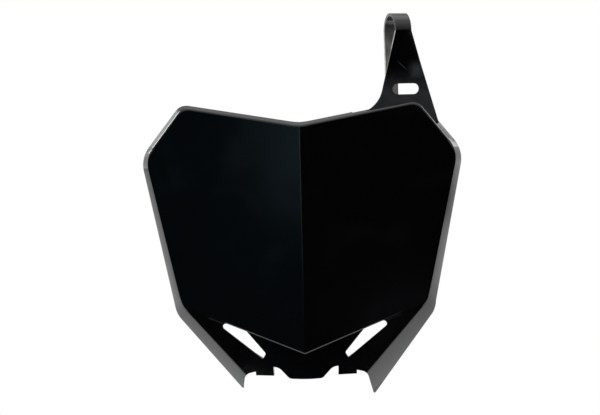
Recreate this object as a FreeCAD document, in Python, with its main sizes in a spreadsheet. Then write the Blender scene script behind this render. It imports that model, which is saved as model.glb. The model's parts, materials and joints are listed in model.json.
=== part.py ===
"""Front number plate of an off-road motorbike, moulded in one piece with its bar strap.

The origin is the foot of the centre ridge, +X is the viewer's right, +Y goes back and +Z goes up.
The two panels sweep back from the ridge, and each has a frame of its own: along it, up it and into it.
"""
import FreeCAD, Part
import math
import os
import Sketcher

SIZES = {
    # Moulded sheet: wall, sweep of each panel from the ridge, lap of one web into the next
    "wall": 2.2,
    "panel_sweep": 6.85,
    "bond": 0.5,
    # Corners of a panel, along it from the ridge and up from the ridge foot
    "ridge_height": 172.8,
    "top_corner_out": 89.7,
    "top_corner_up": 188.8,
    "widest_out": 119.5,
    "widest_up": 151.3,
    "lower_corner_out": 93.9,
    "lower_corner_up": 37.0,
    # Rim: corner radii, splay of each flank from the panel's normal, depth behind the panel
    "corner_top": 11.0,
    "corner_widest": 28.0,
    "corner_lower": 26.0,
    "splay_top": 19.0,
    "splay_upper": 33.5,
    "splay_side": 40.5,
    "splay_fin": 42.5,
    "rim_depth_top": 5.6,
    "rim_depth_corner": 9.4,
    "fin_rim_slope": 0.276,
    "left_fin_rim_slope": 0.197,
    # Rounded folds
    "ridge_round": 3.0,
    "top_dip_round": 60.0,
    "rim_fold_round": 2.2,
    "fin_fold_round": 3.0,
    "fin_tip_round": 2.0,
    "step_edge": 0.5,
    "step_edge_angle": 45.0,
    # Fins under the panels and the windows above them
    "fin_fold": 14.7,
    "fin_edge_angle": 43.0,
    "fin_root": 19.4,
    "window_end_round": 2.4,
    "toe_low": 10.3,
    "heel_inset": 47.3,
    "heel_drop": 5.8,
    "heel_rake": 12.3,
    "heel_round": 6.0,
    # Tongue between the fins, from its corner outwards
    "tongue_half_width": 12.6,
    "tongue_drop": 8.4,
    "tongue_crown_drop": 0.9,
    "tongue_crown": 120.0,
    "tongue_round": 4.5,
    "tongue_embed": 1.6,
    "tongue_lap": 4.0,
    "notch_run": 7.7,
    "notch_drop": 0.9,
    "notch_round": 8.0,
    "toe_run": 4.3,
    "window_foot_run": 5.6,
    "window_foot_gap": 5.7,
    "window_foot_round": 2.0,
    "shoulder_run": 15.0,
    # Lugs behind the fins
    "lug_run": 1.6,
    "lug_width": 14.4,
    "lug_drop": 8.3,
    "lug_rise": 9.7,
    "lug_thickness": 3.0,
    # Bar strap, measured from the panel's top corner
    "strap_thickness": 2.4,
    "strap_left_inset": 29.5,
    "strap_left_lean": 0.248,
    "strap_root_round": 22.0,
    "strap_right_reach": 16.5,
    "strap_right_drop": 16.3,
    "strap_right_lean": 0.283,
    "strap_lap": 8.0,
    "crease_rise": 30.2,
    "slot_inset": 8.1,
    "slot_rise": 9.7,
    "slot_length": 20.0,
    "slot_height": 8.1,
    "loop_inset": 8.7,
    "loop_rise": 53.7,
    "loop_turn": 20.0,
    "loop_width": 12.6,
    "loop_arch_round": 13.5,
    "loop_crown": 0.2,
    "loop_back_drop": 36.0,
    "loop_back_round": 60.0,
    "tail_lean": 13.0,
    "tail_length": 61.4,
    "tail_taper": 4.6,
    "tail_round": 3.0,
    # Cut in the rim that lets the strap out
    "relief_lead": 19.2,
    "relief_drop": 14.8,
}

doc = FreeCAD.newDocument("front_number_plate")
sheet = doc.addObject("Spreadsheet::Sheet", "sizes")
for row, (alias, value) in enumerate(SIZES.items(), start=1):
    sheet.set(f"A{row}", alias)
    sheet.set(f"B{row}", str(value))
    sheet.setAlias(f"B{row}", alias)
doc.recompute()

# Reach of the blank and of the cuts, well past the plate on every side
FAR = "(2 * sizes.widest_out)"
BELOW = "(sizes.widest_out / 2)"
DEEP = "(sizes.widest_out / 2)"

PARALLEL = 1e-4


# Sketches and features

def size(expression):
    """Value of an expression on the sheet."""
    value = sheet.evalExpression(expression)
    return float(getattr(value, "Value", value))


def origin_plane(body, role):
    return [feature for feature in body.Origin.OriginFeatures if feature.Role == role][0]


def new_sketch(body, name, role, frame=None):
    """Sketch on an origin plane, moved by a placement expression."""
    sketch = body.newObject("Sketcher::SketchObject", name)
    sketch.AttachmentSupport = [(origin_plane(body, role), "")]
    sketch.MapMode = "FlatFace"
    if frame:
        sketch.setExpression("AttachmentOffset", frame)
    return sketch


def constrain(sketch, expression, *parts):
    index = sketch.addConstraint(Sketcher.Constraint(*parts, size(expression)))
    sketch.setExpression(f"Constraints[{index}]", expression)


def fix_point(sketch, geometry, position, across, up):
    constrain(sketch, across, "DistanceX", -1, 1, geometry, position)
    constrain(sketch, up, "DistanceY", -1, 1, geometry, position)


def add_arc(sketch, centre, radius, start, end):
    """Arc that runs anticlockwise from start to end."""
    angles = [math.atan2(point.y - centre.y, point.x - centre.x) for point in (start, end)]
    if angles[1] < angles[0]:
        angles[1] += 2 * math.pi
    circle = Part.Circle(centre, FreeCAD.Vector(0, 0, 1), radius)
    return sketch.addGeometry(Part.ArcOfCircle(circle, *angles))


def outline(sketch, corners):
    """Closed outline through corners (across, up) or, where one is rounded, (across, up, radius)."""
    points = [FreeCAD.Vector(size(corner[0]), size(corner[1]), 0) for corner in corners]
    count = len(corners)
    entries, leaves, centres = [], [], []
    for index, corner in enumerate(corners):
        before = (points[index - 1] - points[index]).normalize()
        after = (points[(index + 1) % count] - points[index]).normalize()
        radius = size(corner[2]) if len(corner) == 3 else 0
        half = before.getAngle(after) / 2
        entries.append(points[index] + before * (radius / math.tan(half)))
        leaves.append(points[index] + after * (radius / math.tan(half)))
        bisector = (before + after).normalize() if radius else FreeCAD.Vector()
        centres.append(points[index] + bisector * (radius / math.sin(half)))
    lines = [sketch.addGeometry(Part.LineSegment(leaves[index], entries[(index + 1) % count]))
             for index in range(count)]
    for index, corner in enumerate(corners):
        before, after = lines[index - 1], lines[index]
        if len(corner) == 2:
            sketch.addConstraint(Sketcher.Constraint("Coincident", before, 2, after, 1))
            fix_point(sketch, after, 1, *corner)
            continue
        entry, leave, centre = entries[index], leaves[index], centres[index]
        turns_left = (points[index] - entry).cross(leave - points[index]).z > 0
        ends = (entry, leave) if turns_left else (leave, entry)
        arc = add_arc(sketch, centre, size(corner[2]), *ends)
        first, last = (1, 2) if turns_left else (2, 1)
        apex = sketch.addGeometry(Part.Point(points[index]), True)
        fix_point(sketch, apex, 1, *corner[:2])
        sketch.addConstraint(Sketcher.Constraint("PointOnObject", apex, 1, before))
        sketch.addConstraint(Sketcher.Constraint("PointOnObject", apex, 1, after))
        sketch.addConstraint(Sketcher.Constraint("Tangent", before, 2, arc, first))
        sketch.addConstraint(Sketcher.Constraint("Tangent", after, 1, arc, last))
        constrain(sketch, corner[2], "Radius", arc)


def both_sides(corners):
    """Corners of a right half, from top to foot, followed by their mirror images."""
    left = [(f"-({corner[0]})", *corner[1:]) for corner in reversed(corners) if corner[0] != "0"]
    return [*corners, *left]


def rectangle(left, right, foot, top):
    return [(left, foot), (right, foot), (right, top), (left, top)]


def obround(sketch, across, up, length, height):
    """Slot outline with round ends."""
    radius = f"({height} / 2)"
    reach = f"({length} / 2 - {radius})"
    rise = FreeCAD.Vector(0, size(radius), 0)
    ends = []
    for side in (-1, 1):
        centre = FreeCAD.Vector(size(f"{across} + {side} * {reach}"), size(up), 0)
        ends.append(add_arc(sketch, centre, size(radius), centre - rise * side, centre + rise * side))
        fix_point(sketch, ends[-1], 3, f"{across} + {side} * {reach}", up)
    for start, end in (ends, reversed(ends)):
        line = sketch.addGeometry(Part.LineSegment(sketch.getPoint(start, 2), sketch.getPoint(end, 1)))
        sketch.addConstraint(Sketcher.Constraint("Tangent", line, 1, start, 2))
        sketch.addConstraint(Sketcher.Constraint("Tangent", line, 2, end, 1))
    constrain(sketch, radius, "Radius", ends[0])


def pad(body, name, sketch, length, both_ways=False):
    """Pads away from the sketch's normal, to the back or down, or half the length each way."""
    feature = body.newObject("PartDesign::Pad", name)
    feature.Profile = sketch
    feature.Reversed = True
    feature.Midplane = both_ways
    feature.setExpression("Length", length)
    doc.recompute()
    return feature


def pocket(body, name, sketch, length, to_front=False, both_ways=False):
    feature = body.newObject("PartDesign::Pocket", name)
    feature.Profile = sketch
    feature.Reversed = to_front
    feature.Midplane = both_ways
    feature.setExpression("Length", length)
    doc.recompute()
    return feature


def loft(body, name, start, end):
    feature = body.newObject("PartDesign::AdditiveLoft", name)
    feature.Profile = start
    feature.Sections = [end]
    feature.Ruled = True
    doc.recompute()
    return feature


def fillet(body, name, edges, radius):
    base = body.Tip
    feature = body.newObject("PartDesign::Fillet", name)
    feature.Base = (base, edges)
    feature.setExpression("Radius", radius)
    doc.recompute()
    return feature


def mirror(body, name, originals=None):
    """Mirror image across the ridge, of the whole body or of some of its features."""
    feature = body.newObject("PartDesign::Mirrored", name)
    if originals:
        feature.Originals = originals
    else:
        feature.TransformMode = "Whole shape"
    feature.MirrorPlane = (origin_plane(body, "YZ_Plane"), [""])
    body.Tip = feature
    doc.recompute()
    return feature


# Frames of the panel, its flanks and the fin

PANEL = "placement(vector(0; 0; 0); rotationy(sizes.panel_sweep))"


def corner_of(name):
    return (f"sizes.{name}_out", f"sizes.{name}_up")


def heading(start, end):
    return f"atan2({end[1]} - ({start[1]}); {end[0]} - ({start[0]}))"


def sunk(frame, depth):
    """Frame moved into the plate along its own normal."""
    return f"{frame} * placement(vector(0; 0; -({depth})); rotationx(0))"


def flank(point, direction, splay):
    """Plane of one flank of the rim, through a corner of the panel."""
    return (f"{PANEL} * placement(vector({point[0]}; {point[1]}; 0); "
            f"rotationz({direction}) * rotationx({splay} - 90))")


RIDGE_TOP = ("0", "sizes.ridge_height")
RIDGE_FOOT = ("0", "0")
TOP_CORNER = corner_of("top_corner")
WIDEST = corner_of("widest")
LOWER_CORNER = corner_of("lower_corner")
V_HEADING = heading(RIDGE_FOOT, LOWER_CORNER)
FIN = f"{PANEL} * placement(vector(0; 0; 0); rotationz({V_HEADING}) * rotationx(sizes.fin_fold))"
FLANKS = {
    "top_flank": flank(RIDGE_TOP, heading(RIDGE_TOP, TOP_CORNER), "sizes.splay_top"),
    "upper_flank": flank(TOP_CORNER, heading(TOP_CORNER, WIDEST), "sizes.splay_upper"),
    "side_flank": flank(WIDEST, heading(WIDEST, LOWER_CORNER), "sizes.splay_side"),
    "fin_flank": flank(LOWER_CORNER, "180 + sizes.fin_edge_angle", "sizes.splay_fin"),
}


def normal_of(frame, side=1):
    """Outward normal of a frame's plane on the right side, or its mirror image on the left."""
    upright = FreeCAD.Placement(FreeCAD.Vector(), FreeCAD.Rotation(FreeCAD.Vector(1, 0, 0), 90))
    normal = upright.multiply(sheet.evalExpression(frame)).Rotation.multVec(FreeCAD.Vector(0, 0, 1))
    return FreeCAD.Vector(side * normal.x, normal.y, normal.z)


def edge_between(shape, normals):
    """Name of the straight edge where two flat faces meet."""
    for index, edge in enumerate(shape.Edges, start=1):
        flats = [face for face in shape.ancestorsOfType(edge, Part.Face)
                 if isinstance(face.Surface, Part.Plane)]
        facing = [face.normalAt(0, 0) for face in flats]
        if all(any(normal.getAngle(other) < PARALLEL for other in facing) for normal in normals):
            return f"Edge{index}"
    raise ValueError("no edge between these faces")


# Outer form and its hollow, both as blocks cut by the same planes

def trim(body, name, frame, top=FAR):
    """Cuts away all that lies outside a plane."""
    sketch = new_sketch(body, f"{name}_plane", "XZ_Plane", frame)
    outline(sketch, rectangle(f"-{FAR}", FAR, f"-{FAR}", top))
    pocket(body, name, sketch, FAR, to_front=True)


def block(body, inset):
    """Solid form of the plate with its front and flanks moved in by inset."""
    prefix = body.Name
    front = f"({inset}) / cos(sizes.panel_sweep)"
    sketch = new_sketch(body, f"{prefix}_blank_outline", "XY_Plane",
                        f"placement(vector(0; 0; {FAR}); rotationx(0))")
    front_end = f"{front} + {FAR} * tan(sizes.panel_sweep)"
    outline(sketch, [("0", front), (FAR, front_end), (FAR, DEEP), ("0", DEEP)])
    pad(body, f"{prefix}_blank", sketch, f"{FAR} + {BELOW}")
    for name, frame in FLANKS.items():
        trim(body, f"{prefix}_{name}", sunk(frame, inset))
    trim(body, f"{prefix}_fin_face", sunk(FIN, inset), top="0")
    for corner, names in (("corner_top", ("top_flank", "upper_flank")),
                          ("corner_widest", ("upper_flank", "side_flank")),
                          ("corner_lower", ("side_flank", "fin_flank"))):
        edge = edge_between(body.Shape, [normal_of(FLANKS[name]) for name in names])
        fillet(body, f"{prefix}_{corner}", [edge], f"sizes.{corner} - ({inset})")
    mirror(body, f"{prefix}_halves")


def round_folds(body):
    """Rounds the dip of the top edge, the folds to the fins and the folds of the rim."""
    def on_both_sides(*pairs):
        return [edge_between(body.Shape, [normal_of(frame, side) for frame in pair])
                for pair in pairs for side in (1, -1)]

    dip = edge_between(body.Shape, [normal_of(FLANKS["top_flank"], side) for side in (1, -1)])
    fillet(body, "top_dip_fillet", [dip], "sizes.top_dip_round")
    fillet(body, "fin_fold_fillet", on_both_sides((PANEL, FIN)), "sizes.fin_fold_round")
    rim = [(PANEL, FLANKS[name]) for name in ("top_flank", "upper_flank", "side_flank")]
    fillet(body, "rim_fold_fillet", on_both_sides(*rim, (FIN, FLANKS["fin_flank"])), "sizes.rim_fold_round")


def cut_rim(body, name, slope, side):
    """Cuts the back of the rim on one side of the ridge, deeper towards the fin's tip."""
    sketch = new_sketch(body, f"{name}_profile", "YZ_Plane",
                        f"placement(vector(0; 0; 0); rotationy({side} * sizes.panel_sweep))")
    tip_depth = f"(sizes.rim_depth_corner + {slope} * (sizes.lower_corner_up + {BELOW}))"
    outline(sketch, [
        ("sizes.rim_depth_top", "sizes.top_corner_up"),
        ("sizes.rim_depth_corner", "sizes.lower_corner_up"),
        (tip_depth, f"-{BELOW}"),
        (FAR, f"-{BELOW}"),
        (FAR, FAR),
        ("sizes.rim_depth_top", FAR),
    ])
    pocket(body, name, sketch, FAR, to_front=side > 0)


hollow = doc.addObject("PartDesign::Body", "hollow")
block(hollow, "sizes.wall")
plate = doc.addObject("PartDesign::Body", "number_plate")
block(plate, "0")
round_folds(plate)
cut_rim(plate, "right_rim_back", "sizes.fin_rim_slope", 1)
cut_rim(plate, "left_rim_back", "sizes.left_fin_rim_slope", -1)
shell = plate.newObject("PartDesign::Boolean", "hollow_back")
shell.Type = "Cut"
shell.setObjects([hollow])
doc.recompute()

# Windows and lower edge, as seen from the front

V_SLOPE = "(sizes.lower_corner_up / (sizes.lower_corner_out * cos(sizes.panel_sweep)))"
APEX_OUT = "(sizes.lower_corner_out * cos(sizes.panel_sweep) - sizes.fin_root)"
APEX_UP = f"({APEX_OUT} * {V_SLOPE})"
NOTCH_OUT = "(sizes.tongue_half_width + sizes.notch_run)"
TOE_OUT = f"({NOTCH_OUT} + sizes.toe_run)"
HEEL_OUT = "(sizes.lower_corner_out - sizes.heel_inset)"
HEEL_LOW = "(sizes.toe_low + sizes.heel_drop)"
END_OUT = f"({HEEL_OUT} + ({BELOW} - {HEEL_LOW}) * tan(sizes.heel_rake))"

lower_outline = new_sketch(plate, "lower_outline", "XZ_Plane")
outline(lower_outline, both_sides([
    ("0", "0"),
    (APEX_OUT, APEX_UP, "sizes.window_end_round"),
    (TOE_OUT, "-sizes.toe_low"),
    (HEEL_OUT, f"-{HEEL_LOW}", "sizes.heel_round"),
    (END_OUT, f"-{BELOW}"),
]))
pocket(plate, "lower_cut", lower_outline, FAR, both_ways=True)

# Rounded tips of the fins, between the heel's cut and the back of the rim

def heel_normal(side):
    rake = FreeCAD.Rotation(FreeCAD.Vector(0, 1, 0), -side * size("sizes.heel_rake"))
    return rake.multVec(FreeCAD.Vector(-side, 0, 0))


def rim_back_normal(side, slope):
    sweep = FreeCAD.Rotation(FreeCAD.Vector(0, 0, 1), side * size("sizes.panel_sweep"))
    return sweep.multVec(FreeCAD.Vector(0, 1, size(slope)).normalize())


tips = [edge_between(plate.Shape, [heel_normal(side), rim_back_normal(side, slope)])
        for side, slope in ((1, "sizes.fin_rim_slope"), (-1, "sizes.left_fin_rim_slope"))]
fillet(plate, "fin_tips", tips, "sizes.fin_tip_round")

# Step under the panels' lower edge, back to the tongue

TOE_BACK = (f"({TOE_OUT} * tan(sizes.panel_sweep) + tan(sizes.fin_fold) / cos(sizes.panel_sweep)"
            f" * ({TOE_OUT} * sin({V_HEADING}) / cos(sizes.panel_sweep) + sizes.toe_low * cos({V_HEADING})))")
TONGUE_FRONT = f"({TOE_BACK} + sizes.tongue_embed)"
FOOT_OUT = f"({TOE_OUT} + sizes.window_foot_run)"
SHOULDER_OUT = f"({FOOT_OUT} + sizes.shoulder_run)"
SHOULDER_UP = f"({SHOULDER_OUT} * {V_SLOPE})"
STEP_RISE = f"(sizes.wall / cos(atan({V_SLOPE})))"
STEP_TOP = [("0", STEP_RISE), (SHOULDER_OUT, f"{SHOULDER_UP} + {STEP_RISE}"), (SHOULDER_OUT, SHOULDER_UP)]

step_outline = new_sketch(plate, "step_outline", "XZ_Plane")
outline(step_outline, both_sides([*STEP_TOP, ("0", "0")]))
pad(plate, "step_wall", step_outline, f"{TONGUE_FRONT} + sizes.wall")
front_profile = new_sketch(plate, "front_profile", "XY_Plane")
outline(front_profile, both_sides([
    ("0", "0", "sizes.ridge_round"),
    (FAR, f"{FAR} * tan(sizes.panel_sweep)"),
    (FAR, f"-{DEEP}"),
]))
pocket(plate, "front_trim", front_profile, f"2 * {FAR}", both_ways=True)

# Broken edge along the panels' lower edge

STEP_EDGE = f"{PANEL} * placement(vector(0; 0; 0); rotationz({V_HEADING}) * rotationx(sizes.step_edge_angle))"
edge_plane = new_sketch(plate, "step_edge_plane", "XZ_Plane", sunk(STEP_EDGE, "sizes.step_edge"))
outline(edge_plane, rectangle("0", f"{APEX_OUT} / cos({V_HEADING})",
                              "-2 * sizes.step_edge", "2 * sizes.step_edge"))
step_edge = pocket(plate, "step_edge", edge_plane, DEEP, to_front=True)
mirror(plate, "step_edges", [step_edge])

# Tongue, a flat web that laps behind the fins' inner edges

NOTCH_LOW = "(sizes.toe_low + sizes.notch_drop)"
TONGUE_LOW = f"({NOTCH_LOW} + sizes.tongue_drop)"
FIN_SLOPE = f"(({APEX_UP} + sizes.toe_low) / ({APEX_OUT} - {TOE_OUT}))"
LAP_OUT = f"({FOOT_OUT} + 2 * sizes.window_foot_round)"


def on_fin_edge(out):
    """Height of a fin's inner edge."""
    return f"({FIN_SLOPE} * ({out} - {TOE_OUT}) - sizes.toe_low)"


tongue_outline = new_sketch(plate, "tongue_outline", "XZ_Plane",
                            f"placement(vector(0; 0; -{TONGUE_FRONT}); rotationx(0))")
outline(tongue_outline, both_sides([
    *STEP_TOP,
    (FOOT_OUT, f"{on_fin_edge(FOOT_OUT)} + sizes.window_foot_gap", "sizes.window_foot_round"),
    (LAP_OUT, f"{on_fin_edge(LAP_OUT)} - sizes.tongue_lap"),
    (f"{TOE_OUT} + sizes.bond", "-sizes.toe_low"),
    (NOTCH_OUT, f"-{NOTCH_LOW}", "sizes.notch_round"),
    ("sizes.tongue_half_width", f"-{TONGUE_LOW}", "sizes.tongue_round"),
    ("0", f"-{TONGUE_LOW} - sizes.tongue_crown_drop", "sizes.tongue_crown"),
]))
pad(plate, "tongue", tongue_outline, "sizes.wall")

# Lugs behind the fins, with the fin's slope and upright edges

WEB_DEPTH = "(sizes.wall - sizes.bond)"
LUG_IN = f"({TOE_OUT} + sizes.lug_run)"
LUG_OUT = f"({LUG_IN} + sizes.lug_width)"
LUG_THROAT = "(sizes.toe_low + sizes.bond)"
LUG_LOW = "(sizes.toe_low + sizes.lug_drop)"

lug_outline = new_sketch(plate, "lug_outline", "XZ_Plane",
                         f"{sunk(FIN, WEB_DEPTH)} * placement(vector(0; 0; 0); rotationz(-{V_HEADING}))")
outline(lug_outline, [
    (LUG_IN, f"-{LUG_THROAT}"),
    (LUG_OUT, f"sizes.lug_rise - {LUG_THROAT}"),
    (LUG_OUT, f"-{LUG_LOW}"),
    (LUG_IN, f"-{LUG_LOW}"),
])
lug = pad(plate, "lug", lug_outline, "sizes.lug_thickness")
mirror(plate, "lugs", [lug])

# Bar strap: root behind the right panel, neck, bend round the bar and tail

TOP_SLOPE = "((sizes.top_corner_up - sizes.ridge_height) / sizes.top_corner_out)"
STRAP_BACK = f"({WEB_DEPTH} + sizes.strap_thickness)"
STRAP_LEFT = "(sizes.top_corner_out - sizes.strap_left_inset)"
STRAP_FOOT = f"({STRAP_LEFT} - sizes.strap_root_round)"
STRAP_RIGHT = "(sizes.top_corner_out + sizes.strap_right_reach)"
STRAP_RIGHT_UP = "(sizes.top_corner_up - sizes.strap_right_drop)"


def on_top_edge(out):
    """Height of the panel's top edge."""
    return f"(sizes.ridge_height + {TOP_SLOPE} * {out})"


CREASE_UP = "(sizes.top_corner_up + sizes.crease_rise)"
CREASE_LEFT = f"({STRAP_LEFT} + sizes.strap_left_lean * ({CREASE_UP} - {on_top_edge(STRAP_LEFT)}))"
CREASE_RIGHT = f"({STRAP_RIGHT} - sizes.strap_right_lean * ({CREASE_UP} - {STRAP_RIGHT_UP}))"

relief_outline = new_sketch(plate, "rim_relief_outline", "XZ_Plane", sunk(PANEL, STRAP_BACK))
outline(relief_outline, rectangle(f"{STRAP_LEFT} - sizes.relief_lead", FAR,
                                  "sizes.top_corner_up - sizes.relief_drop", FAR))
pocket(plate, "rim_relief", relief_outline, DEEP)

root_outline = new_sketch(plate, "strap_root_outline", "XZ_Plane", sunk(PANEL, WEB_DEPTH))
outline(root_outline, [
    (STRAP_FOOT, f"{on_top_edge(STRAP_FOOT)} - sizes.strap_lap"),
    (STRAP_FOOT, on_top_edge(STRAP_FOOT)),
    (STRAP_LEFT, on_top_edge(STRAP_LEFT), "sizes.strap_root_round"),
    (CREASE_LEFT, CREASE_UP),
    (CREASE_RIGHT, CREASE_UP),
    (STRAP_RIGHT, STRAP_RIGHT_UP),
    (f"{STRAP_RIGHT} - sizes.strap_lap", f"{STRAP_RIGHT_UP} - sizes.strap_lap"),
])
pad(plate, "strap_root", root_outline, "sizes.strap_thickness")
slot_outline = new_sketch(plate, "slot_outline", "XZ_Plane", sunk(PANEL, WEB_DEPTH))
obround(slot_outline, "(sizes.top_corner_out - sizes.slot_inset)", "(sizes.top_corner_up + sizes.slot_rise)",
        "sizes.slot_length", "sizes.slot_height")
pocket(plate, "strap_slot", slot_outline, f"4 * {STRAP_BACK}", both_ways=True)

LOOP_OUT = "(sizes.top_corner_out - sizes.loop_inset)"
LOOP_UP = "(sizes.top_corner_up + sizes.loop_rise)"
LOOP_X = f"({LOOP_OUT} * cos(sizes.panel_sweep) - {WEB_DEPTH} * sin(sizes.panel_sweep))"
LOOP_Y = f"({LOOP_OUT} * sin(sizes.panel_sweep) + {WEB_DEPTH} * cos(sizes.panel_sweep))"
HALF_LOOP = "(sizes.loop_width / 2)"

crease_section = new_sketch(plate, "crease_section", "XY_Plane",
                            f"placement(vector(0; 0; {CREASE_UP}); rotationz(sizes.panel_sweep))")
outline(crease_section, rectangle(CREASE_LEFT, CREASE_RIGHT, WEB_DEPTH, STRAP_BACK))
loop_section = new_sketch(plate, "loop_section", "XY_Plane",
                          f"placement(vector({LOOP_X}; {LOOP_Y}; {LOOP_UP}); rotationz(sizes.loop_turn))")
outline(loop_section, rectangle(f"-{HALF_LOOP}", HALF_LOOP, "0", "sizes.strap_thickness"))
loft(plate, "strap_neck", crease_section, loop_section)

# Loop from the side: arch round the bar, upright back, bow and tail, a strap's thickness apart

LOOP_TOP = "(sizes.loop_arch_round + sizes.bond)"
LOOP_DEPTH = "(2 * sizes.loop_arch_round + sizes.loop_crown)"
TAIL_LOW = "(sizes.tail_length + sizes.bond)"
TAIL_IN = f"({LOOP_DEPTH} - ({TAIL_LOW} - sizes.loop_back_drop) * tan(sizes.tail_lean))"
INNER_TOP = f"({LOOP_TOP} - sizes.strap_thickness)"
INNER_BACK = f"({LOOP_DEPTH} - sizes.strap_thickness)"
INNER_ROUND = "(sizes.loop_arch_round - sizes.strap_thickness)"

loop_profile = new_sketch(plate, "loop_profile", "YZ_Plane",
                          f"placement(vector({LOOP_Y}; {LOOP_UP}; {LOOP_X}); rotationy(sizes.loop_turn))")
outline(loop_profile, [
    ("0", "0"),
    ("0", LOOP_TOP, "sizes.loop_arch_round"),
    (LOOP_DEPTH, LOOP_TOP, "sizes.loop_arch_round"),
    (LOOP_DEPTH, "-sizes.loop_back_drop", "sizes.loop_back_round"),
    (TAIL_IN, f"-{TAIL_LOW}"),
    (f"{TAIL_IN} - sizes.strap_thickness / cos(sizes.tail_lean)", f"-{TAIL_LOW}"),
    (INNER_BACK, "sizes.strap_thickness * tan(sizes.tail_lean / 2) - sizes.loop_back_drop",
     "sizes.loop_back_round - sizes.strap_thickness"),
    (INNER_BACK, INNER_TOP, INNER_ROUND),
    ("sizes.strap_thickness", INNER_TOP, INNER_ROUND),
    ("sizes.strap_thickness", "0"),
])
pad(plate, "strap_loop", loop_profile, "sizes.loop_width", both_ways=True)
LOOP_FRONT = f"placement(vector({LOOP_X}; {LOOP_UP}; -{LOOP_Y}); rotationy(sizes.loop_turn))"
tail_outline = new_sketch(plate, "tail_outline", "XZ_Plane", sunk(LOOP_FRONT, "sizes.loop_arch_round"))
outline(tail_outline, [
    (f"{HALF_LOOP} + sizes.bond", "0"),
    (HALF_LOOP, "0"),
    (f"{HALF_LOOP} - sizes.tail_taper", "-sizes.tail_length", "sizes.tail_round"),
    (f"sizes.bond - {HALF_LOOP}", "-sizes.tail_length", "sizes.tail_round"),
    (f"-{HALF_LOOP}", "0"),
    (f"-{HALF_LOOP} - sizes.bond", "0"),
    (f"-{HALF_LOOP} - sizes.bond", f"-{TAIL_LOW} - sizes.bond"),
    (f"{HALF_LOOP} + sizes.bond", f"-{TAIL_LOW} - sizes.bond"),
])
pocket(plate, "tail_end", tail_outline, DEEP)

# Checks and export

doc.recompute()
for feature in doc.Objects:
    if "Invalid" in feature.State or "Error" in feature.State:
        raise RuntimeError(f"{feature.Name} failed: {feature.State}")
if plate.Shape.isNull() or not plate.Shape.isValid() or len(plate.Shape.Solids) != 1:
    raise RuntimeError("the plate is not one valid solid")
os.makedirs("parts", exist_ok=True)
plate.Shape.exportStep(f"parts/{plate.Label}.step")
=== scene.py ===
"""Front number plate of an off-road motorbike: its finish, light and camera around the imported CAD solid.

Everything is in metres in the CAD's own frame: the origin is the foot of the centre ridge, +X the
viewer's right, +Y back towards the fork and +Z up.
"""
import json
import math

import bpy
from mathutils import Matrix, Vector

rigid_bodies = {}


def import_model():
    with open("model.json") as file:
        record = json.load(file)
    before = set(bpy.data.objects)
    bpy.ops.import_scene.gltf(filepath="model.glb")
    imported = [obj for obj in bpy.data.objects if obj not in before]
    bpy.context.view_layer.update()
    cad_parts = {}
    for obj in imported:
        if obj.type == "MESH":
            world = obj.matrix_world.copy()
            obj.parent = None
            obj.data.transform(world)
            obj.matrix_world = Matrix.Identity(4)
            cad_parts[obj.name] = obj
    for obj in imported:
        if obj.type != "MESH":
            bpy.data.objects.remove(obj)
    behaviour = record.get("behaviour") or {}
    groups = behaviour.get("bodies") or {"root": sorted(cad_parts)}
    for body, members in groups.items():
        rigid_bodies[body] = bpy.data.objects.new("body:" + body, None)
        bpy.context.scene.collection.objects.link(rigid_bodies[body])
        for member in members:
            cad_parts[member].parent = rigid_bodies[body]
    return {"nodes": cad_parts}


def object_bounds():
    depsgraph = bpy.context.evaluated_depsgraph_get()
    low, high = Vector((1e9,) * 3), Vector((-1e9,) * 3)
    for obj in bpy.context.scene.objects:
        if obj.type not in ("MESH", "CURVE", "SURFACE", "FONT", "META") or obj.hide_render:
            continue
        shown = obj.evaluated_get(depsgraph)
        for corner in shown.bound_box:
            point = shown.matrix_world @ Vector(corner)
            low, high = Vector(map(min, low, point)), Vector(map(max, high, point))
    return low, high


for leftover in list(bpy.data.objects):
    bpy.data.objects.remove(leftover)
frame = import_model()
cad_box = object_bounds()
plate = frame["nodes"]["number_plate"]

MM = 0.001


# Colours and nodes

def colour(hex_code):
    """Linear colour of an sRGB hex code."""
    channels = [int(hex_code[start:start + 2], 16) / 255 for start in (1, 3, 5)]
    linear = [value / 12.92 if value <= 0.04045 else ((value + 0.055) / 1.055) ** 2.4 for value in channels]
    return (*linear, 1.0)


def add_node(tree, kind, settings=None, links=None):
    """Adds a node: settings go to its inputs or properties, links join its inputs to other outputs."""
    node = tree.nodes.new(kind)
    for name, value in (settings or {}).items():
        if isinstance(name, int) or name in node.inputs:
            node.inputs[name].default_value = value
        else:
            setattr(node, name, value)
    for name, output in (links or {}).items():
        tree.links.new(output, node.inputs[name])
    return node


def new_material(name):
    material = bpy.data.materials.new(name)
    material.use_nodes = True
    material.node_tree.nodes.clear()
    return material


# Finish

BLACK = "#060708"
# Grey for the handling haze and scuffs, also used as the painted highlight along the ridge crest
HAZE_AND_SHEEN_GREY = "#2f3031"
# Painted light: light grey for the inner side of the strap loop
LOOP_PAINTED_LIGHT_GREY = "#a8a4a0"
POLYPROPYLENE_IOR = 1.49
POLISHED_ROUGHNESS = 0.12
CLOUDED_ROUGHNESS = 0.22
HAZE_AND_SHEEN_ROUGHNESS = 0.62
CLOUD = 35 * MM
SMEAR = 6 * MM
SINK_WAVE = 18 * MM
SINK_DEPTH = 0.2 * MM
BOW_HEIGHT = 0.7 * MM
FOLD_DEPTH = 0.5 * MM
FIN_DEPTH = 26 * MM
AS_IT_STANDS = (0, 0, 0)
WITH_RIGHT_PANEL = (0, 0, -math.radians(6.85))
DOWN_TO_RIGHT = (0, math.radians(45), 0)
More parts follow.
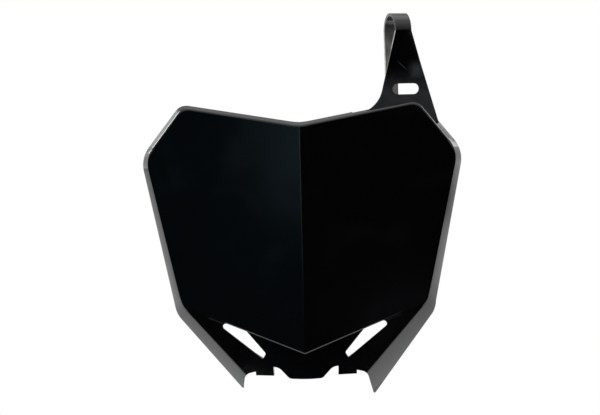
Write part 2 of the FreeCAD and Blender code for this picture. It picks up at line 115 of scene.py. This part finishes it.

# Worn areas, and areas of painted light (the ridge crest's highlight and the lit inner side of the strap
# loop): how the part is turned
#  to meet the area, then across, back and up, in millimetres, where the area starts, is full from, is full to
#  and ends
STRAP_ROOT = (WITH_RIGHT_PANEL, (40, 55, 130, 131), (1.0, 1.5, 60, 61), (168, 178, 190, 218))
RUBBED_SPOT = (AS_IT_STANDS, (80, 89, 90, 100), (0, 1, 22, 23), (201, 211, 213, 222))
SCUFF = (DOWN_TO_RIGHT, (207.7, 208.4, 208.4, 209.1), (0, 1, 22, 23), (89, 96, 97, 104))
# Painted highlight: a thin grey band along the ridge crest stands in for the light the crest catches
RIDGE_PAINTED_HIGHLIGHT = (AS_IT_STANDS, (-0.8, 0, 0, 0.8), (-3, -2, 4, 5), (0, 190, 200, 210))
# Painted light on the inner side of the strap loop
STRAP_BACK_PAINTED_LIGHT = (AS_IT_STANDS, (40, 41, 130, 131), (23, 26, 60, 61), (176, 215, 218, 258))


def wear_and_painted_light_area(tree, place, area):
    """1 inside an area of the part that is worn or carries painted light, fading to 0 at its edges."""
    turn, *limits = area
    starts, full_from, full_to, ends = ([limit * MM for limit in side] for side in zip(*limits))
    turned = add_node(tree, "ShaderNodeMapping", {"Rotation": turn}, {"Vector": place}).outputs["Vector"]
    fade = {"data_type": "FLOAT_VECTOR", "interpolation_type": "SMOOTHSTEP"}
    rise = add_node(tree, "ShaderNodeMapRange", {**fade, "From Min": starts, "From Max": full_from},
                    {"Vector": turned})
    fall = add_node(tree, "ShaderNodeMapRange", {**fade, "From Min": ends, "From Max": full_to},
                    {"Vector": turned})
    inside = add_node(tree, "ShaderNodeVectorMath", {"operation": "MULTIPLY"},
                      {0: rise.outputs["Vector"], 1: fall.outputs["Vector"]})
    axes = add_node(tree, "ShaderNodeSeparateXYZ", links={"Vector": inside.outputs["Vector"]}).outputs
    level = add_node(tree, "ShaderNodeMath", {"operation": "MULTIPLY"}, {0: axes["X"], 1: axes["Y"]})
    return add_node(tree, "ShaderNodeMath", {"operation": "MULTIPLY"},
                    {0: level.outputs["Value"], 1: axes["Z"]}).outputs["Value"]


def gloss_black_polypropylene():
    """Polypropylene moulded in a polished tool: black right through with a hard gloss and faint sink
    waves, dulled and greyed by handling at the strap's root, with a painted highlight along the ridge crest
    and painted light on the inner side of the bent strap."""
    material = new_material("gloss_black_moulded_polypropylene")
    tree = material.node_tree
    place = add_node(tree, "ShaderNodeTexCoord").outputs["Object"]
    smears = add_node(tree, "ShaderNodeTexNoise", {"Scale": 1 / SMEAR, "Detail": 2.0}, {"Vector": place})
    mottle = add_node(tree, "ShaderNodeMapRange", {"From Min": 0.3, "From Max": 0.7, "To Min": 0.6},
                      {"Value": smears.outputs["Fac"]}).outputs["Result"]

    # Haze that dulls the gloss and greys the black a little, and faint cloudy patches all over. Along the
    # ridge crest the same grey is a painted highlight, standing in for the light line the crest catches
    haze_and_sheen_area = wear_and_painted_light_area(tree, place, STRAP_ROOT)
    for area in (RUBBED_SPOT, SCUFF, RIDGE_PAINTED_HIGHLIGHT):
        haze_and_sheen_area = add_node(tree, "ShaderNodeMath", {"operation": "MAXIMUM"},
                         {0: haze_and_sheen_area, 1: wear_and_painted_light_area(tree, place, area)}).outputs["Value"]
    haze_and_sheen = add_node(tree, "ShaderNodeMath", {"operation": "MULTIPLY"}, {0: haze_and_sheen_area, 1: mottle}).outputs["Value"]
    clouds = add_node(tree, "ShaderNodeTexNoise", {"Scale": 1 / CLOUD, "Detail": 3.0}, {"Vector": place})
    gloss = add_node(tree, "ShaderNodeMapRange",
                     {"interpolation_type": "SMOOTHSTEP", "From Min": 0.45, "From Max": 0.75,
                      "To Min": POLISHED_ROUGHNESS, "To Max": CLOUDED_ROUGHNESS},
                     {"Value": clouds.outputs["Fac"]})
    roughness = add_node(tree, "ShaderNodeMapRange", {"To Max": HAZE_AND_SHEEN_ROUGHNESS},
                         {"Value": haze_and_sheen, "To Min": gloss.outputs["Result"]})
    black = add_node(tree, "ShaderNodeMix",
                     {"data_type": "RGBA", "A": colour(BLACK), "B": colour(HAZE_AND_SHEEN_GREY)}, {"Factor": haze_and_sheen})

    # Painted light: the forward-facing inner side of the bent strap is lightened to grey, standing in for the
    # light it reflects
    facing = add_node(tree, "ShaderNodeNewGeometry").outputs["Normal"]
    facing_back = add_node(tree, "ShaderNodeSeparateXYZ", links={"Vector": facing}).outputs["Y"]
    inner_side = add_node(tree, "ShaderNodeMapRange",
                          {"interpolation_type": "SMOOTHSTEP", "From Min": 0.0, "From Max": -0.3},
                          {"Value": facing_back})
    loop_inner_side = add_node(tree, "ShaderNodeMath", {"operation": "MULTIPLY"},
                        {0: wear_and_painted_light_area(tree, place, STRAP_BACK_PAINTED_LIGHT), 1: inner_side.outputs["Result"]})
    loop_painted_light = add_node(tree, "ShaderNodeMath", {"operation": "MULTIPLY"},
                        {0: loop_inner_side.outputs["Value"], 1: mottle})
    tone = add_node(tree, "ShaderNodeMix", {"data_type": "RGBA", "B": colour(LOOP_PAINTED_LIGHT_GREY)},
                    {"A": black.outputs["Result"], "Factor": loop_painted_light.outputs["Value"]})

    # Relief too shallow for the solid: flanks bowed from the fold to the fins' edge, and sink waves
    right_half = add_node(tree, "ShaderNodeVectorMath", {"operation": "ABSOLUTE"}, {0: place})
    turned = add_node(tree, "ShaderNodeMapping", {"Rotation": WITH_RIGHT_PANEL},
                      {"Vector": right_half.outputs["Vector"]})
    depth = add_node(tree, "ShaderNodeSeparateXYZ", links={"Vector": turned.outputs["Vector"]}).outputs["Y"]
    across = add_node(tree, "ShaderNodeMapRange",
                      {"From Min": FOLD_DEPTH, "From Max": FIN_DEPTH, "To Min": -1.0}, {"Value": depth})
    hollow = add_node(tree, "ShaderNodeMath", {"operation": "POWER", 1: 2.0}, {0: across.outputs["Result"]})
    bow = add_node(tree, "ShaderNodeBump", {"invert": True, "Strength": 1.0, "Distance": BOW_HEIGHT},
                   {"Height": hollow.outputs["Value"]})
    waves = add_node(tree, "ShaderNodeTexNoise", {"Scale": 1 / SINK_WAVE, "Detail": 1.0}, {"Vector": place})
    relief = add_node(tree, "ShaderNodeBump", {"Strength": 0.04, "Distance": SINK_DEPTH},
                      {"Height": waves.outputs["Fac"], "Normal": bow.outputs["Normal"]})
    shader = add_node(tree, "ShaderNodeBsdfPrincipled", {"IOR": POLYPROPYLENE_IOR},
                      {"Base Color": tone.outputs["Result"], "Roughness": roughness.outputs["Result"],
                       "Normal": relief.outputs["Normal"]})
    add_node(tree, "ShaderNodeOutputMaterial", links={"Surface": shader.outputs["BSDF"]})
    return material


plate.data.materials.clear()
plate.data.materials.append(gloss_black_polypropylene())


# Studio: a white sweep behind and beside the plate, a dark room in front of it

WHITE = "#ffffff"
CARD_WHITE = "#f4f4f4"
FILL_GREY = "#b0b4b8"
FILL_LEVEL = 0.8
PLATE_MIDDLE = Vector((0, 0, 0.1))
FLOOR_GAP = 90 * MM
FLOOR_WIDTH = 1.4
FLOOR_FRONT = -0.10
FLOOR_BACK = 0.40
FLOOR_LIFT = 0.4

# Where a direction from the plate meets the room: how high it points, from -1 straight down to 1 straight
# up, and how far back, with the brightness met there
WALL_FOOT = -0.25
WALL_TOP = 0.08
WALL_FOOT_LEVEL = 4.4
WALL_TOP_LEVEL = 0.9
LINTEL_FOOT = 0.18
LINTEL_TOP = 0.23
CEILING_TOP = 1.0
CEILING_EDGE_LEVEL = 0.5
CEILING_TOP_LEVEL = 1.6
ROOM_BACK = 0.15
SWEEP_FRONT = 0.75


def white_sweep_card():
    """Matt white card that keeps the plate's shadow and is lifted to plain white where it is seen."""
    material = new_material("matt_white_card")
    tree = material.node_tree
    card = add_node(tree, "ShaderNodeBsdfDiffuse", {"Color": colour(CARD_WHITE)})
    ray = add_node(tree, "ShaderNodeLightPath").outputs
    seen = add_node(tree, "ShaderNodeMath", {"operation": "MAXIMUM"},
                    {0: ray["Is Camera Ray"], 1: ray["Is Glossy Ray"]})
    lift = add_node(tree, "ShaderNodeMath", {"operation": "MULTIPLY", 1: FLOOR_LIFT},
                    {0: seen.outputs["Value"]})
    glow = add_node(tree, "ShaderNodeEmission", {"Color": colour(WHITE)},
                    {"Strength": lift.outputs["Value"]})
    lifted = add_node(tree, "ShaderNodeAddShader",
                      links={0: card.outputs["BSDF"], 1: glow.outputs["Emission"]})
    add_node(tree, "ShaderNodeOutputMaterial", links={"Surface": lifted.outputs["Shader"]})
    return material


floor_height = cad_box[0].z - FLOOR_GAP
bpy.ops.object.select_all(action="DESELECT")
bpy.ops.mesh.primitive_plane_add(size=1, location=(0, (FLOOR_FRONT + FLOOR_BACK) / 2, floor_height))
floor = bpy.context.object
floor.name = "floor"
floor.scale = (FLOOR_WIDTH, FLOOR_BACK - FLOOR_FRONT, 1)
bpy.ops.object.transform_apply(location=True, rotation=False, scale=True)
floor.data.materials.append(white_sweep_card())


def light_room():
    """White to the camera on all sides; reflections see white behind and above and a dark room in front."""
    world = bpy.data.worlds.new("studio")
    world.use_nodes = True
    tree = world.node_tree
    tree.nodes.clear()
    ray = add_node(tree, "ShaderNodeLightPath").outputs
    direction = add_node(tree, "ShaderNodeTexCoord").outputs["Generated"]
    axes = add_node(tree, "ShaderNodeSeparateXYZ", links={"Vector": direction}).outputs
    fade = {"interpolation_type": "SMOOTHSTEP"}
    lintel = add_node(tree, "ShaderNodeMapRange",
                      {**fade, "From Min": LINTEL_FOOT, "From Max": LINTEL_TOP}, {"Value": axes["Z"]})
    overhead = add_node(tree, "ShaderNodeMapRange",
                        {**fade, "From Min": LINTEL_FOOT, "From Max": CEILING_TOP,
                         "To Min": CEILING_EDGE_LEVEL, "To Max": CEILING_TOP_LEVEL}, {"Value": axes["Z"]})
    ceiling = add_node(tree, "ShaderNodeMath", {"operation": "MULTIPLY"},
                       {0: lintel.outputs["Result"], 1: overhead.outputs["Result"]})
    wall = add_node(tree, "ShaderNodeMapRange",
                    {**fade, "From Min": WALL_FOOT, "From Max": WALL_TOP,
                     "To Min": WALL_FOOT_LEVEL, "To Max": WALL_TOP_LEVEL}, {"Value": axes["Z"]})
    around = add_node(tree, "ShaderNodeMapRange", {"From Min": ROOM_BACK, "From Max": SWEEP_FRONT},
                      {"Value": axes["Y"], "To Min": ceiling.outputs["Value"],
                       "To Max": wall.outputs["Result"]})
    seen = add_node(tree, "ShaderNodeMapRange", {"To Max": 1.0},
                    {"Value": ray["Is Camera Ray"], "To Min": around.outputs["Result"]}).outputs["Result"]
    sweep = add_node(tree, "ShaderNodeBackground", {"Color": colour(WHITE)}, {"Strength": seen})
    fill = add_node(tree, "ShaderNodeBackground", {"Color": colour(FILL_GREY), "Strength": FILL_LEVEL})
    mirrored = add_node(tree, "ShaderNodeMath", {"operation": "MAXIMUM"},
                        {0: ray["Is Glossy Ray"], 1: ray["Is Transmission Ray"]})
    straight = add_node(tree, "ShaderNodeMath", {"operation": "MAXIMUM"},
                        {0: ray["Is Camera Ray"], 1: mirrored.outputs["Value"]})
    room = add_node(tree, "ShaderNodeMixShader",
                    links={"Fac": straight.outputs["Value"], 1: fill.outputs["Background"],
                           2: sweep.outputs["Background"]})
    add_node(tree, "ShaderNodeOutputWorld", links={"Surface": room.outputs["Shader"]})
    bpy.context.scene.world = world


def softbox(name, place, width, height, radiance, tint=WHITE):
    """Area lamp aimed at the middle of the plate and set by the brightness of its face."""
    lamp = bpy.data.lights.new(name, "AREA")
    lamp.shape = "RECTANGLE"
    lamp.size = width
    lamp.size_y = height
    lamp.energy = radiance * math.pi * width * height
    lamp.color = colour(tint)[:3]
    holder = bpy.data.objects.new(name, lamp)
    holder.location = place
    holder.rotation_euler = (PLATE_MIDDLE - Vector(place)).to_track_quat("-Z", "Y").to_euler()
    bpy.context.collection.objects.link(holder)


light_room()
softbox("left_back_softbox", (-1.0, 1.0, 0.65), 0.7, 0.6, 2.0)
softbox("right_back_softbox", (1.0, 1.0, 0.52), 0.7, 0.85, 2.6)
softbox("left_strip_light", (-1.1, 0.24, 0.75), 0.55, 0.55, 14.0)
softbox("right_strip_light", (1.1, 0.24, 0.75), 0.55, 0.55, 7.0)
softbox("left_corner_softbox", (-1.2, 0.45, 0.27), 0.4, 0.5, 1.8)
softbox("right_corner_softbox", (1.2, 0.45, 0.18), 0.4, 0.6, 2.3)
softbox("right_low_softbox", (1.2, 0.45, -0.33), 0.4, 0.3, 1.1)
softbox("overhead_softbox", (0, 0.1, 1.8), 1.6, 1.2, 0.8)
softbox("front_left_glow", (-0.44, -2.4, 0.45), 0.68, 0.9, 0.33, "#b8e6ff")
softbox("front_right_glow", (0.68, -2.3, -0.27), 0.2, 0.16, 0.18, "#f0e4f4")
softbox("front_left_wide_glow", (-0.95, -2.3, 0.0), 1.3, 1.8, 0.035, "#a0e0ff")


# Camera, fitted to the ridge, the corners and the flanks in the photograph

CAMERA_PLACE = (0.0715, -1.3644, 0.1658)
CAMERA_TURN = (87.707, 1.472, 2.978)
LENS = 108.87
SENSOR_WIDTH = 36

camera_data = bpy.data.cameras.new("camera")
camera_data.lens = LENS
camera_data.sensor_width = SENSOR_WIDTH
camera = bpy.data.objects.new("camera", camera_data)
camera.location = CAMERA_PLACE
camera.rotation_euler = [math.radians(angle) for angle in CAMERA_TURN]
bpy.context.collection.objects.link(camera)
bpy.context.scene.camera = camera
bpy.context.scene.view_settings.view_transform = "Standard"
